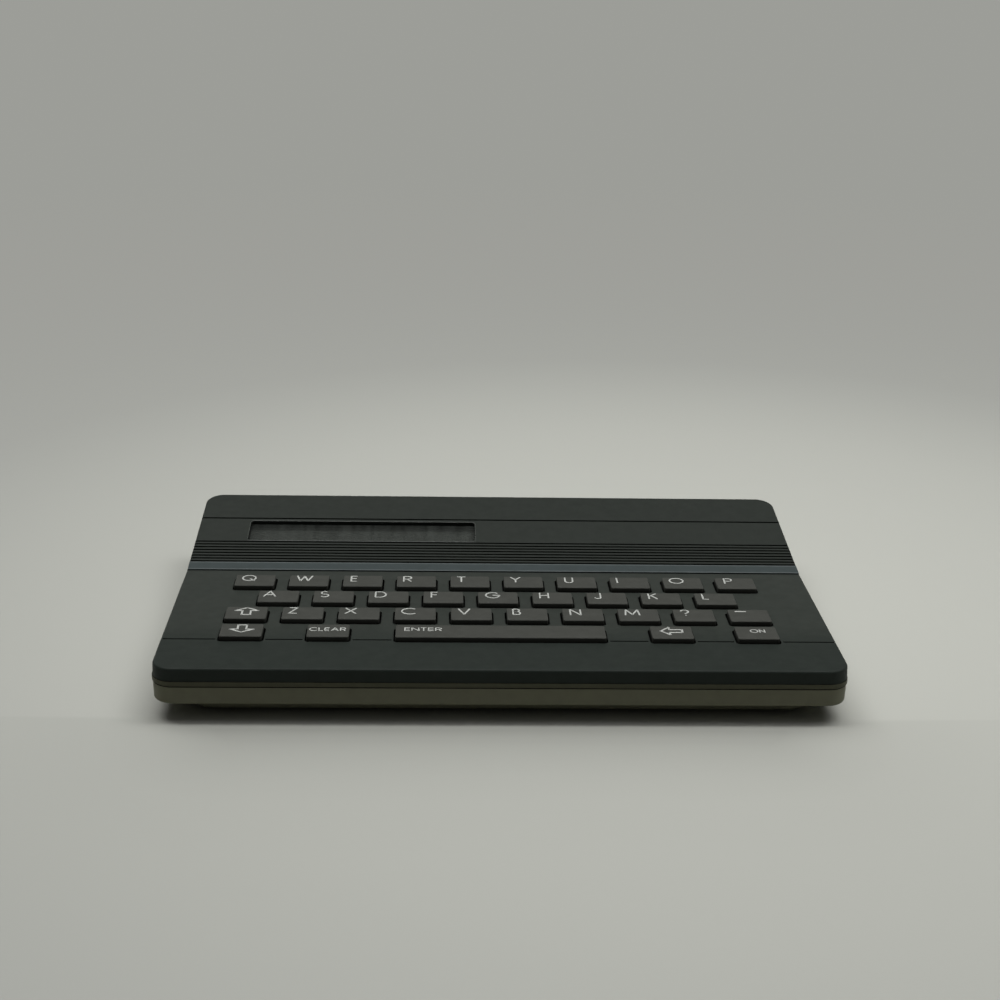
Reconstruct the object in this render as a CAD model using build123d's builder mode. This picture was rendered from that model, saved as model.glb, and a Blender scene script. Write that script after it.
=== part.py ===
from build123d import *

import os
from math import cos, degrees, radians, sin, tan

os.makedirs("parts", exist_ok=True)

# Case outline, where the cover's wall meets the rim
cover_width = 149.3
cover_depth = 94.5
corner_radius = 4.7
cover_draft = 2.5
deck_edge_radius = 0.5

# Heights, from the table upwards
foot_stand = 1.0
plateau_height = 3.4
tub_height = 4.0
lower_seam = 0.3
rim_height = 1.0
upper_seam = 0.1
front_wall_height = 2.95

# Walls
deck_thickness = 1.6
wall_thickness = 1.8
floor_thickness = 1.4

# Datum line that keys, display, board and cells are placed from, held from the back edge.
# It lies on the deck's front edge, so a deeper case only gains deck in front of the keys.
datum_from_back = 94.3712

# Display slope: where it bends up from the key deck, and by how much
bend_from_front = 54.6
display_tilt = 8.1
bend_groove_width = 0.6
groove_width = 0.62
groove_depth = 0.6
rib_grooves = 8
first_groove_up = 4.65
groove_pitch = 1.4
rear_groove_up = 26.6

# Coloured band between the bend and the grooves
band_length = 3.7
band_thickness = 0.4
band_end_clearance = 0.1

# Display opening and what lies behind it
opening_length = 57.1
opening_depth = 10.3
opening_radius = 0.9
opening_x = -33.1
opening_up = 20.2
window_lap = 1.5
window_thickness = 1.0
window_rise = 0.6
window_rise_clearance = 0.1
glass_lap = 0.9
glass_thickness = 2.0
locating_rib = 0.8
locating_clearance = 0.1
locating_height = 2.4
holder_thickness = 1.2
holder_lap = 0.55
holder_ear_wall = 0.9
holder_window_length = 44.0
holder_window_depth = 4.4
holder_window_shift = 1.8
display_boss_radius = 1.5
display_boss_front_x = 27.0
display_boss_back_x = 20.0
display_boss_sink = 0.35

# Keys
key_pitch = 12.7
row_pitch = 9.54
key_width = 9.3
key_depth = 6.55
key_corner = 0.5
key_edge_radius = 0.25
key_proud = 1.1
key_gap = 0.4
key_travel = 0.9
top_row_from_front = 46.1
enter_width = 46.6
flange_lap = 0.8
flange_thickness = 0.8

# Fine line along the front of the lowest row
line_from_front = 15.0
line_width = 0.48
line_depth = 0.5
line_key_clearance = 0.8
line_end_margin = 0.4

# Rubber dome sheet and main board
press_clearance = 0.8
sheet_thickness = 0.6
sheet_margin = 1.6
dome_gap = 0.05
dome_base_radius = 2.7
dome_top_radius = 1.4
enter_dome_reach = 15.0
board_side_gap = 4.65
board_front = 12.4
board_back = 57.0
board_thickness = 1.2

# Small screws through the board and through the display holder
board_boss_radius = 2.0
boss_hole_clearance = 0.3
small_shank = 1.7
small_head = 3.4
small_head_height = 1.0
small_bite = 2.2
screw_clearance = 0.1
board_screw_key_gap = 1.04
board_screw_back = 53.4

# Long screws that hold the two halves together, from below
case_screw_x = 60.0
case_screw_middle = 61.2
case_screw_back = 85.4
case_boss_radius = 2.6
case_post_radius = 3.0
case_joint_height = 6.0
case_shank = 2.4
case_head = 4.6
case_head_height = 1.5
case_head_sink = 0.5
case_screw_bite = 4.0
recess_clearance = 0.2
cross_length = 2.2
cross_width = 0.5
cross_depth = 0.6

# Rim frame between the halves
rim_proud = 0.15
seam_depth = 0.6
lip_thickness = 0.8
lip_clearance = 0.1
lip_reach = 1.0

# Lower case
tub_draft = 1.8
tub_edge_radius = 0.5
plateau_side_inset = 7.0
plateau_end_inset = 4.6
plateau_corner = 5.0
plateau_draft = 8.0
plateau_edge_radius = 0.6
foot_radius = 3.0
foot_sink = 0.4
foot_clearance = 0.1
foot_x = 59.0
foot_front = 15.6
foot_back = 77.6

# Two cells, side by side under the right of the slope
cell_length = 44.5
cell_diameter = 10.5
cell_nub_length = 1.0
cell_nub_diameter = 3.8
cell_edge = 0.5
cell_clearance = 0.1
cell_pitch = 10.9
front_cell_from_front = 70.2
bay_x = 31.0
bay_wall = 1.2
bay_side_gap = 0.35
bay_end_height = 8.6
contact_thickness = 0.4
contact_size = 8.8
contact_tab_width = 3.0
contact_tab_rise = 1.6
spring_length = 4.2
spring_wire = 0.5
spring_turns = 4.5
spring_radius = 2.9
spring_tip_radius = 1.7
lead_radius = 0.45
lead_wall_gap = 0.25
lead_spacing = 1.3
lead_dip_from_front = 62.0
lead_dip = 1.6
lead_end_from_front = 55.0
lead_bends = [0.7, 6.0]

# Battery door
door_slot_width = 46.8
door_ledge = 0.7
door_side_clearance = 0.15
door_lift_clearance = 0.05
door_front_from_front = 64.6
door_end_wall = 1.2
door_end_clearance = 0.1
grip_ridges = 5
grip_pitch = 1.6
grip_width = 16.0
grip_height = 0.35
grip_ridge_width = 0.6
grip_from_back = 6.0

# Parts on the underside of the board
blob_radius = 6.5
blob_height = 1.6
blob_round = 1.3
blob_x = -20.0
chip_length = 14.0
chip_width = 9.0
chip_height = 2.2
chip_x = 12.0
crystal_radius = 1.0
crystal_length = 6.0
crystal_x = -36.0
capacitor_radius = 1.6
capacitor_length = 5.0
capacitor_x = 34.0
parts_from_front = 36.0

# Ribbon from the display to the board
ribbon_width = 40.0
ribbon_thickness = 0.2
ribbon_land = 2.0
ribbon_side_gap = 0.4
ribbon_sag = 4.0

z_plateau = foot_stand
z_tub = z_plateau + plateau_height
z_tub_top = z_tub + tub_height
z_rim = z_tub_top + lower_seam
z_rim_top = z_rim + rim_height
z_cover = z_rim_top + upper_seam
z_deck = z_cover + front_wall_height
z_deck_under = z_deck - deck_thickness
z_floor = z_plateau + floor_thickness
board_drop = flange_thickness + key_travel + press_clearance + sheet_thickness
z_board_top = z_deck_under - board_drop
z_board = z_board_top - board_thickness
z_sheet_top = z_board_top + sheet_thickness

tilt = radians(display_tilt)
cover_lean = tan(radians(cover_draft))
front_edge_y = -cover_depth / 2 + front_wall_height * cover_lean
deck_width = cover_width - 2 * front_wall_height * cover_lean
tub_lean = tub_height * tan(radians(tub_draft))
plateau_lean = plateau_height * tan(radians(plateau_draft))


raw_height = 2 * z_deck
through_deck = 2 * deck_thickness


def y_at(from_front):
    """Y of a place given by its distance behind the datum line."""
    return cover_depth / 2 - datum_from_back + from_front


bend_y = y_at(bend_from_front)
slope = Plane(
    origin=(0, bend_y, z_deck), x_dir=(1, 0, 0), z_dir=(0, -sin(tilt), cos(tilt))
)
slope_under = slope.offset(-deck_thickness)
window_under = slope_under.offset(-window_thickness)
glass_under = window_under.offset(-glass_thickness)
holder_under = glass_under.offset(-holder_thickness)

# Key names row by row, each with its place in pitches from the middle and its width
first_row = "qwertyuiop"
second_row = "asdfghjkl"
third_row = ["up", *"zxcvbnm", "question", "dash"]
outer_place = (len(first_row) - 1) / 2
second_row_place = (len(second_row) - 1) / 2
side_place = outer_place - 1.5
key_rows = [
    [(name, place - outer_place, key_width) for place, name in enumerate(first_row)],
    [(name, place - second_row_place, key_width) for place, name in enumerate(second_row)],
    [(name, place - outer_place, key_width) for place, name in enumerate(third_row)],
    [
        ("down", -outer_place, key_width),
        ("clear", -side_place, key_width),
        ("enter", 0, enter_width),
        ("back", side_place, key_width),
        ("on", outer_place, key_width),
    ],
]
last_row_y = y_at(top_row_from_front - 3 * row_pitch)
second_row_y = y_at(top_row_from_front - row_pitch)

# Screws of the board stand beside the second row, beside the enter bar and behind the first row
flange_reach = key_gap + flange_lap
second_row_end_x = second_row_place * key_pitch + key_width / 2 + flange_reach
enter_end_x = enter_width / 2 + flange_reach
side_key_start_x = side_place * key_pitch - key_width / 2 - flange_reach
board_screw_outer_x = second_row_end_x + board_screw_key_gap + board_boss_radius
board_screw_inner_x = (enter_end_x + side_key_start_x) / 2
board_screws_at = [
    (side * x, y)
    for side in (-1, 1)
    for x, y in (
        (board_screw_outer_x, second_row_y),
        (board_screw_inner_x, last_row_y),
        (outer_place * key_pitch, y_at(board_screw_back)),
    )
]

# The front pair of long screws stands between the two outer keys of the last row
front_case_screws_at = [
    (side * (side_place + outer_place) / 2 * key_pitch, last_row_y) for side in (-1, 1)
]
case_screws_at = front_case_screws_at + [
    (side * case_screw_x, y_at(far))
    for side in (-1, 1)
    for far in (case_screw_middle, case_screw_back)
]

# Screws of the display holder stand in front of and behind the window's locating frame
frame_reach_up = opening_depth / 2 + window_lap + locating_clearance + locating_rib
display_boss_up = frame_reach_up + display_boss_radius - display_boss_sink
display_screws_at = [
    (opening_x + side * reach, opening_up + end * display_boss_up)
    for side in (-1, 1)
    for end, reach in ((-1, display_boss_front_x), (1, display_boss_back_x))
]
keys = [
    (name, place * key_pitch, y_at(top_row_from_front - row * row_pitch), width)
    for row, names in enumerate(key_rows)
    for name, place, width in names
]


def save(piece, name):
    """Label one finished piece and write it under its own name."""
    piece.label = name
    export_step(piece, f"parts/{name}.step")


def case_profile(drop):
    """Side view of everything under the deck and the slope, lowered by drop."""
    reach = cover_depth
    rise = tan(tilt) * (reach - bend_y)
    shift = drop * tan(tilt / 2)
    with BuildSketch(Plane.YZ.offset(-cover_width)) as profile:
        with BuildLine():
            Polyline(
                (-reach, 0),
                (-reach, z_deck - drop),
                (bend_y + shift, z_deck - drop),
                (reach, z_deck - drop / cos(tilt) + rise),
                (reach, 0),
                close=True,
            )
        make_face()
    return profile.sketch


def cover_cavity():
    """The space inside the cover, with the screw bosses left standing in it."""
    with BuildPart() as cavity:
        with BuildSketch(Plane.XY.offset(z_cover)):
            RectangleRounded(
                cover_width - 2 * wall_thickness,
                cover_depth - 2 * wall_thickness,
                corner_radius - wall_thickness,
            )
        extrude(amount=raw_height, taper=cover_draft)
        extrude(case_profile(deck_thickness), amount=2 * cover_width, mode=Mode.INTERSECT)
        with BuildSketch(Plane.XY):
            with Locations(*case_screws_at):
                Circle(case_boss_radius)
            with Locations(*board_screws_at):
                Circle(board_boss_radius)
        extrude(amount=z_cover + raw_height, mode=Mode.SUBTRACT)
    return cavity.part


cavity = cover_cavity()

with BuildPart() as top_cover:
    with BuildSketch(Plane.XY.offset(z_cover)):
        RectangleRounded(cover_width, cover_depth, corner_radius)
    extrude(amount=raw_height, taper=cover_draft)
    extrude(case_profile(0), amount=2 * cover_width, mode=Mode.INTERSECT)
    upper_faces = faces().filter_by(lambda face: face.normal_at().Z > cos(2 * tilt))
    outer_edges = upper_faces.edges().filter_by(
        lambda edge: abs(edge.center().Y - bend_y) > deck_edge_radius
    )
    fillet(outer_edges, deck_edge_radius)
    add(cavity, mode=Mode.SUBTRACT)
    # Lower ends of the screw bosses, below the cover's own wall
    with BuildSketch(Plane.XY.offset(case_joint_height)):
        with Locations(*case_screws_at):
            Circle(case_boss_radius)
    extrude(amount=z_cover + front_wall_height / 2 - case_joint_height)
    with BuildSketch(Plane.XY.offset(z_board_top)):
        with Locations(*board_screws_at):
            Circle(board_boss_radius)
    extrude(amount=board_drop + deck_thickness / 2)
    # Locating frame for the window and bosses for the display holder
    with BuildSketch(slope_under.offset(deck_thickness / 2)):
        with Locations((opening_x, opening_up)):
            Rectangle(
                opening_length + 2 * (window_lap + locating_clearance + locating_rib),
                2 * frame_reach_up,
            )
            Rectangle(
                opening_length + 2 * (window_lap + locating_clearance),
                opening_depth + 2 * (window_lap + locating_clearance),
                mode=Mode.SUBTRACT,
            )
    extrude(amount=-deck_thickness / 2 - locating_height)
    with BuildSketch(glass_under):
        with Locations(*display_screws_at):
            Circle(display_boss_radius)
    extrude(amount=window_thickness + glass_thickness + deck_thickness / 2)
    # Pilot holes
    with BuildSketch(Plane.XY.offset(case_joint_height)):
        with Locations(*case_screws_at):
            Circle((case_shank + screw_clearance) / 2)
    extrude(amount=case_screw_bite + screw_clearance, mode=Mode.SUBTRACT)
    with BuildSketch(Plane.XY.offset(z_board_top)):
        with Locations(*board_screws_at):
            Circle((small_shank + screw_clearance) / 2)
    extrude(amount=small_bite + screw_clearance, mode=Mode.SUBTRACT)
    with BuildSketch(glass_under):
        with Locations(*display_screws_at):
            Circle((small_shank + screw_clearance) / 2)
    extrude(amount=small_bite + screw_clearance, mode=Mode.SUBTRACT)
    # Key holes
    for width in (key_width, enter_width):
        with BuildSketch(Plane.XY.offset(z_deck)):
            with Locations(*[(x, y) for _, x, y, own in keys if own == width]):
                RectangleRounded(
                    width + 2 * key_gap, key_depth + 2 * key_gap, key_corner + key_gap
                )
        extrude(amount=-through_deck, mode=Mode.SUBTRACT)
    # Display opening
    with BuildSketch(slope):
        with Locations((opening_x, opening_up)):
            RectangleRounded(opening_length, opening_depth, opening_radius)
    extrude(amount=-through_deck, mode=Mode.SUBTRACT)
    # Grooves across the slope, out through both sides
    with BuildSketch(slope):
        with Locations(*[(0, first_groove_up + turn * groove_pitch) for turn in range(rib_grooves)]):
            Rectangle(cover_width, groove_width)
        with Locations((0, rear_groove_up)):
            Rectangle(cover_width, groove_width)
        with Locations((0, bend_groove_width / 2)):
            Rectangle(cover_width, bend_groove_width)
    extrude(amount=-groove_depth, mode=Mode.SUBTRACT)
    # Shallow seat of the coloured band
    with BuildSketch(slope):
        with Locations((0, bend_groove_width + band_length / 2)):
            Rectangle(cover_width, band_length)
    extrude(amount=-band_thickness, mode=Mode.SUBTRACT)
    # Fine line between the keys of the lowest row
    with BuildSketch(Plane.XY.offset(z_deck)):
        with Locations((0, y_at(line_from_front))):
            Rectangle(deck_width - 2 * line_end_margin, line_width)
        for _, x, y, width in keys:
            if y == last_row_y:
                with Locations((x, y)):
                    Rectangle(width + 2 * line_key_clearance, 2 * key_depth, mode=Mode.SUBTRACT)
    extrude(amount=-line_depth, mode=Mode.SUBTRACT)
save(top_cover.part, "top_cover")

with BuildPart() as stripe_band:
    with BuildSketch(slope):
        with Locations((0, bend_groove_width + band_length / 2)):
            Rectangle(deck_width - 2 * band_end_clearance, band_length)
    extrude(amount=-band_thickness)
save(stripe_band.part, "stripe_band")

with BuildPart() as lcd_window:
    with BuildSketch(slope_under):
        with Locations((opening_x, opening_up)):
            Rectangle(opening_length + 2 * window_lap, opening_depth + 2 * window_lap)
    extrude(amount=-window_thickness)
    # Raised middle that fills the lower part of the opening
    with BuildSketch(slope_under):
        with Locations((opening_x, opening_up)):
            RectangleRounded(
                opening_length - 2 * window_rise_clearance,
                opening_depth - 2 * window_rise_clearance,
                opening_radius - window_rise_clearance,
            )
    extrude(amount=window_rise)
save(lcd_window.part, "lcd_window")

with BuildPart() as lcd_glass:
    with BuildSketch(window_under):
        with Locations((opening_x, opening_up)):
            Rectangle(opening_length + 2 * glass_lap, opening_depth + 2 * glass_lap)
    extrude(amount=-glass_thickness)
save(lcd_glass.part, "lcd_glass")

# Holder plate with four screw ears, a window, and a notch that the ribbon leaves through
glass_edge_up = opening_up - opening_depth / 2 - glass_lap
ribbon_notch_up = glass_edge_up + ribbon_land + ribbon_side_gap
with BuildPart() as lcd_holder:
    with BuildSketch(glass_under):
        with Locations((opening_x, opening_up)):
            Rectangle(
                opening_length + 2 * (glass_lap + holder_lap), opening_depth + 2 * (glass_lap + holder_lap)
            )
        with Locations(*display_screws_at):
            Circle(display_boss_radius + holder_ear_wall)
        with Locations((opening_x, opening_up + holder_window_shift)):
            Rectangle(holder_window_length, holder_window_depth, mode=Mode.SUBTRACT)
        with Locations((opening_x, ribbon_notch_up - opening_depth / 2)):
            Rectangle(ribbon_width + 2 * ribbon_side_gap, opening_depth, mode=Mode.SUBTRACT)
        with Locations(*display_screws_at):
            Circle((small_shank + screw_clearance) / 2, mode=Mode.SUBTRACT)
    extrude(amount=-holder_thickness)
save(lcd_holder.part, "lcd_holder")

# The ribbon lies flat on the display's contact edge, sags, and lies flat on the board
ribbon_high = glass_under.from_local_coords((0, glass_edge_up + ribbon_land, 0))
ribbon_edge = glass_under.from_local_coords((0, glass_edge_up, 0))
ribbon_board_y = y_at(board_back) - ribbon_land
ribbon_side = [
    (ribbon_high.Y, ribbon_high.Z),
    (ribbon_edge.Y, ribbon_edge.Z),
    (y_at(board_back) + ribbon_sag, z_board_top + ribbon_thickness),
    (ribbon_board_y, z_board_top + ribbon_thickness),
]
with BuildPart() as lcd_ribbon:
    with BuildSketch(Plane.YZ.offset(opening_x)):
        with BuildLine():
            Polyline(
                *ribbon_side,
                *[(y, z - ribbon_thickness) for y, z in reversed(ribbon_side)],
                close=True,
            )
        make_face()
    extrude(amount=ribbon_width / 2, both=True)
save(lcd_ribbon.part, "lcd_ribbon")

for name, x, y, width in keys:
    with BuildPart() as key_cap:
        with BuildSketch(Plane.XY.offset(z_deck_under - flange_thickness)):
            with Locations((x, y)):
                Rectangle(width + 2 * flange_reach, key_depth + 2 * flange_reach)
        extrude(amount=flange_thickness)
        with BuildSketch(Plane.XY.offset(z_deck_under)):
            with Locations((x, y)):
                RectangleRounded(width, key_depth, key_corner)
        extrude(amount=deck_thickness + key_proud)
        fillet(faces().sort_by(Axis.Z)[-1].edges(), key_edge_radius)
    save(key_cap.part, f"key_{name}")

dome_places = []
for name, x, y, width in keys:
    if width == enter_width:
        dome_places += [(x - enter_dome_reach, y), (x, y), (x + enter_dome_reach, y)]
    else:
        dome_places.append((x, y))
z_dome_top = z_deck_under - flange_thickness - dome_gap
with BuildPart() as dome_sheet:
    with BuildSketch(Plane.XY.offset(z_board_top)):
        with Locations((0, y_at(top_row_from_front - 1.5 * row_pitch))):
            Rectangle(
                2 * outer_place * key_pitch + key_width + 2 * sheet_margin,
                3 * row_pitch + key_depth + 2 * sheet_margin,
            )
        with Locations(*board_screws_at):
            Circle(board_boss_radius + boss_hole_clearance, mode=Mode.SUBTRACT)
        with Locations(*front_case_screws_at):
            Circle(case_boss_radius + boss_hole_clearance, mode=Mode.SUBTRACT)
    extrude(amount=sheet_thickness)
    with Locations(*[(x, y, (z_sheet_top + z_dome_top) / 2) for x, y in dome_places]):
        Cone(dome_base_radius, dome_top_radius, z_dome_top - z_sheet_top)
save(dome_sheet.part, "dome_sheet")

with BuildPart() as main_board:
    with BuildSketch(Plane.XY.offset(z_board)):
        with Locations((0, y_at((board_front + board_back) / 2))):
            Rectangle(cover_width - 2 * board_side_gap, board_back - board_front)
        with Locations(*board_screws_at):
            Circle((small_shank + screw_clearance) / 2, mode=Mode.SUBTRACT)
        with Locations(*front_case_screws_at):
            Circle(case_boss_radius + boss_hole_clearance, mode=Mode.SUBTRACT)
    extrude(amount=board_thickness)
save(main_board.part, "main_board")

with BuildPart() as processor_blob:
    with BuildSketch(Plane.XY.offset(z_board - blob_height)):
        with Locations((blob_x, y_at(parts_from_front))):
            Circle(blob_radius)
    extrude(amount=blob_height)
    fillet(faces().sort_by(Axis.Z)[0].edges(), blob_round)
save(processor_blob.part, "processor_blob")

with BuildPart() as memory_chip:
    with BuildSketch(Plane.XY.offset(z_board - chip_height)):
        with Locations((chip_x, y_at(parts_from_front))):
            Rectangle(chip_length, chip_width)
    extrude(amount=chip_height)
save(memory_chip.part, "memory_chip")


def lying_can(x, radius, length):
    """A round can that lies along the front-to-back direction under the board."""
    with BuildPart() as can:
        with BuildSketch(Plane.XZ.offset(-y_at(parts_from_front))):
            with Locations((x, z_board - radius)):
                Circle(radius)
        extrude(amount=length / 2, both=True)
    return can.part


save(lying_can(crystal_x, crystal_radius, crystal_length), "crystal")
save(lying_can(capacitor_x, capacitor_radius, capacitor_length), "capacitor")

# Rim frame: a proud strip outside, a core that carries both halves, and a lip inside
rim_inner_width = cover_width - 2 * wall_thickness
rim_inner_depth = cover_depth - 2 * wall_thickness
rim_inner_radius = corner_radius - wall_thickness
with BuildPart() as rim_frame:
    with BuildSketch(Plane.XY.offset(z_rim)):
        RectangleRounded(
            cover_width + 2 * rim_proud, cover_depth + 2 * rim_proud, corner_radius + rim_proud
        )
    extrude(amount=rim_height)
    with BuildSketch(Plane.XY.offset(z_tub_top)):
        RectangleRounded(
            cover_width - 2 * seam_depth, cover_depth - 2 * seam_depth, corner_radius - seam_depth
        )
    extrude(amount=z_cover - z_tub_top)
    with BuildSketch(Plane.XY.offset(z_tub_top - lip_reach)):
        RectangleRounded(
            rim_inner_width - 2 * lip_clearance,
            rim_inner_depth - 2 * lip_clearance,
            rim_inner_radius - lip_clearance,
        )
    extrude(amount=z_cover - z_tub_top + lip_reach)
    with BuildSketch(Plane.XY.offset(z_tub_top - lip_reach)):
        RectangleRounded(
            rim_inner_width - 2 * (lip_clearance + lip_thickness),
            rim_inner_depth - 2 * (lip_clearance + lip_thickness),
            rim_inner_radius - lip_clearance - lip_thickness,
        )
    extrude(amount=z_cover - z_tub_top + 2 * lip_reach, mode=Mode.SUBTRACT)
save(rim_frame.part, "rim_frame")

# Battery bay, from the sizes of the cells
bay_length = cell_length + spring_length + 2 * contact_thickness
bay_left = bay_x - bay_length / 2
bay_right = bay_x + bay_length / 2
bay_front_y = y_at(front_cell_from_front) - cell_diameter / 2 - bay_side_gap
plateau_back_y = cover_depth / 2 - plateau_end_inset
bay_end_z = z_floor + bay_end_height
z_cell = z_floor + cell_clearance + cell_diameter / 2
rear_cell_from_front = front_cell_from_front + cell_pitch
bay_back_y = y_at(rear_cell_from_front) + cell_diameter / 2 + bay_side_gap
door_front_y = y_at(door_front_from_front)
z_ledge = z_plateau + door_ledge

# Front feet keep their distance from the front edge, back feet from the back edge
feet_at = [(side * foot_x, y) for side in (-1, 1) for y in (front_edge_y + foot_front, y_at(foot_back))]

with BuildPart() as bottom_case:
    with BuildSketch(Plane.XY.offset(z_tub)):
        RectangleRounded(
            cover_width - 2 * tub_lean, cover_depth - 2 * tub_lean, corner_radius - tub_lean
        )
    extrude(amount=tub_height, taper=-tub_draft)
    fillet(faces().sort_by(Axis.Z)[0].edges(), tub_edge_radius)
    with BuildSketch(Plane.XY.offset(z_plateau)):
        RectangleRounded(
            cover_width - 2 * (plateau_side_inset + plateau_lean),
            cover_depth - 2 * (plateau_end_inset + plateau_lean),
            plateau_corner - plateau_lean,
        )
    extrude(amount=plateau_height + floor_thickness / 2, taper=-plateau_draft)
    fillet(faces().sort_by(Axis.Z)[0].edges(), plateau_edge_radius)
    # Hollow of the tub, then the deeper hollow of the plateau
    with BuildSketch(Plane.XY.offset(z_tub + floor_thickness)):
        RectangleRounded(
            cover_width - 2 * (tub_lean + wall_thickness),
            cover_depth - 2 * (tub_lean + wall_thickness),
            corner_radius - tub_lean - wall_thickness,
        )
    extrude(amount=tub_height, taper=-tub_draft, mode=Mode.SUBTRACT)
    with BuildSketch(Plane.XY.offset(z_floor)):
        RectangleRounded(
            cover_width - 2 * (plateau_side_inset + plateau_lean + floor_thickness),
            cover_depth - 2 * (plateau_end_inset + plateau_lean + floor_thickness),
            plateau_corner - plateau_lean - floor_thickness,
        )
    extrude(amount=plateau_height + floor_thickness, taper=-plateau_draft, mode=Mode.SUBTRACT)
    # Posts for the long screws
    with BuildSketch(Plane.XY.offset(z_plateau + floor_thickness / 2)):
        with Locations(*case_screws_at):
            Circle(case_post_radius)
    extrude(amount=case_joint_height - z_plateau - floor_thickness / 2)
    with BuildSketch(Plane.XY.offset(z_plateau)):
        with Locations(*case_screws_at):
            Circle((case_shank + screw_clearance) / 2)
    extrude(amount=case_joint_height, mode=Mode.SUBTRACT)
    with BuildSketch(Plane.XY.offset(z_plateau)):
        with Locations(*case_screws_at):
            Circle(case_head / 2 + recess_clearance)
    extrude(amount=case_head_sink + case_head_height, mode=Mode.SUBTRACT)
    # Walls of the battery bay
    with BuildSketch(Plane.XY.offset(z_plateau + floor_thickness / 2)):
        with Locations((bay_x, bay_front_y - bay_wall / 2)):
            Rectangle(bay_length + 2 * bay_wall, bay_wall)
        with Locations(
            (bay_left - bay_wall / 2, (bay_front_y + bay_back_y) / 2),
            (bay_right + bay_wall / 2, (bay_front_y + bay_back_y) / 2),
        ):
            Rectangle(bay_wall, bay_back_y - bay_front_y)
    extrude(amount=bay_end_z - z_plateau - floor_thickness / 2)
    # Door opening, narrow below and wide above, and the gap in the back wall
    with BuildSketch(Plane.XY):
        with Locations((bay_x, (door_front_y + cover_depth / 2 - plateau_end_inset / 2) / 2)):
            Rectangle(door_slot_width, cover_depth / 2 - plateau_end_inset / 2 - door_front_y)
    extrude(amount=z_floor, mode=Mode.SUBTRACT)
    with BuildSketch(Plane.XY.offset(z_ledge)):
        with Locations((bay_x, (door_front_y + cover_depth / 2 - plateau_end_inset / 2) / 2)):
            Rectangle(bay_length, cover_depth / 2 - plateau_end_inset / 2 - door_front_y)
    extrude(amount=z_floor - z_ledge, mode=Mode.SUBTRACT)
    with BuildSketch(Plane.XY):
        with Locations((bay_x, cover_depth / 2 - plateau_end_inset - floor_thickness)):
            Rectangle(bay_length, 3 * floor_thickness)
    extrude(amount=z_tub, mode=Mode.SUBTRACT)
    # Shallow seats of the feet
    with BuildSketch(Plane.XY.offset(z_plateau)):
        with Locations(*feet_at):
            Circle(foot_radius + foot_clearance)
    extrude(amount=foot_sink, mode=Mode.SUBTRACT)
save(bottom_case.part, "bottom_case")

with BuildPart() as rubber_feet:
    with BuildSketch(Plane.XY):
        with Locations(*feet_at):
            Circle(foot_radius)
    extrude(amount=foot_stand + foot_sink)
save(rubber_feet.part, "rubber_feet")

with BuildPart() as battery_door:
    door_back_y = plateau_back_y - plateau_lean
    with BuildSketch(Plane.XY.offset(z_plateau)):
        with Locations((bay_x, (door_front_y + door_side_clearance + door_back_y) / 2)):
            Rectangle(
                door_slot_width - 2 * door_side_clearance,
                door_back_y - door_front_y - door_side_clearance,
            )
    extrude(amount=floor_thickness)
    with BuildSketch(Plane.XY.offset(z_ledge + door_lift_clearance)):
        with Locations((bay_x, (door_front_y + door_side_clearance + door_back_y) / 2)):
            Rectangle(
                bay_length - 2 * door_side_clearance,
                door_back_y - door_front_y - door_side_clearance,
            )
    extrude(amount=z_floor - z_ledge - door_lift_clearance)
    # End wall that closes the gap in the back of the plateau, leaning as it does
    with BuildSketch(Plane.YZ.offset(bay_x)):
        with BuildLine():
            Polyline(
                (door_back_y, z_plateau),
                (plateau_back_y - door_end_clearance, z_tub - door_end_clearance),
                (plateau_back_y - door_end_clearance - door_end_wall, z_tub - door_end_clearance),
                (door_back_y - door_end_wall, z_plateau),
                close=True,
            )
        make_face()
    extrude(amount=bay_length / 2 - door_side_clearance, both=True)
    # Finger ridges, sunk from below
    with BuildSketch(Plane.XY.offset(z_plateau)):
        with Locations(*[
            (bay_x, door_back_y - grip_from_back + turn * grip_pitch - (grip_ridges - 1) * grip_pitch)
            for turn in range(grip_ridges)
        ]):
            Rectangle(grip_width, grip_ridge_width)
    extrude(amount=grip_height, mode=Mode.SUBTRACT)
save(battery_door.part, "battery_door")


def cell(positive_side, from_front):
    """One cell along X, its nub towards positive_side and its nub end on the contact."""
    plus_x = bay_x + positive_side * (bay_length / 2 - contact_thickness)
    y = y_at(from_front)
    can_length = cell_length - cell_nub_length
    with BuildPart() as body:
        with BuildSketch(Plane.YZ.offset(plus_x - positive_side * cell_nub_length)):
            with Locations((y, z_cell)):
                Circle(cell_diameter / 2)
        extrude(amount=-positive_side * can_length)
        fillet(edges().filter_by(GeomType.CIRCLE), cell_edge)
        with BuildSketch(Plane.YZ.offset(plus_x)):
            with Locations((y, z_cell)):
                Circle(cell_nub_diameter / 2)
        extrude(amount=-positive_side * (cell_nub_length + cell_edge))
    return body.part


save(cell(-1, front_cell_from_front), "battery_front")
save(cell(1, rear_cell_from_front), "battery_rear")


def contact(side, centre_from_front, width):
    """A sheet contact against one end wall of the bay, with a solder tab above it."""
    wall_x = bay_x + side * bay_length / 2
    with BuildPart() as sheet:
        with BuildSketch(Plane.YZ.offset(wall_x)):
            with Locations((y_at(centre_from_front), z_cell)):
                Rectangle(width, contact_size)
            with Locations((y_at(centre_from_front), (z_cell + bay_end_z + contact_tab_rise) / 2)):
                Rectangle(contact_tab_width, bay_end_z + contact_tab_rise - z_cell)
        extrude(amount=-side * contact_thickness)
    return sheet.part


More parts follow.
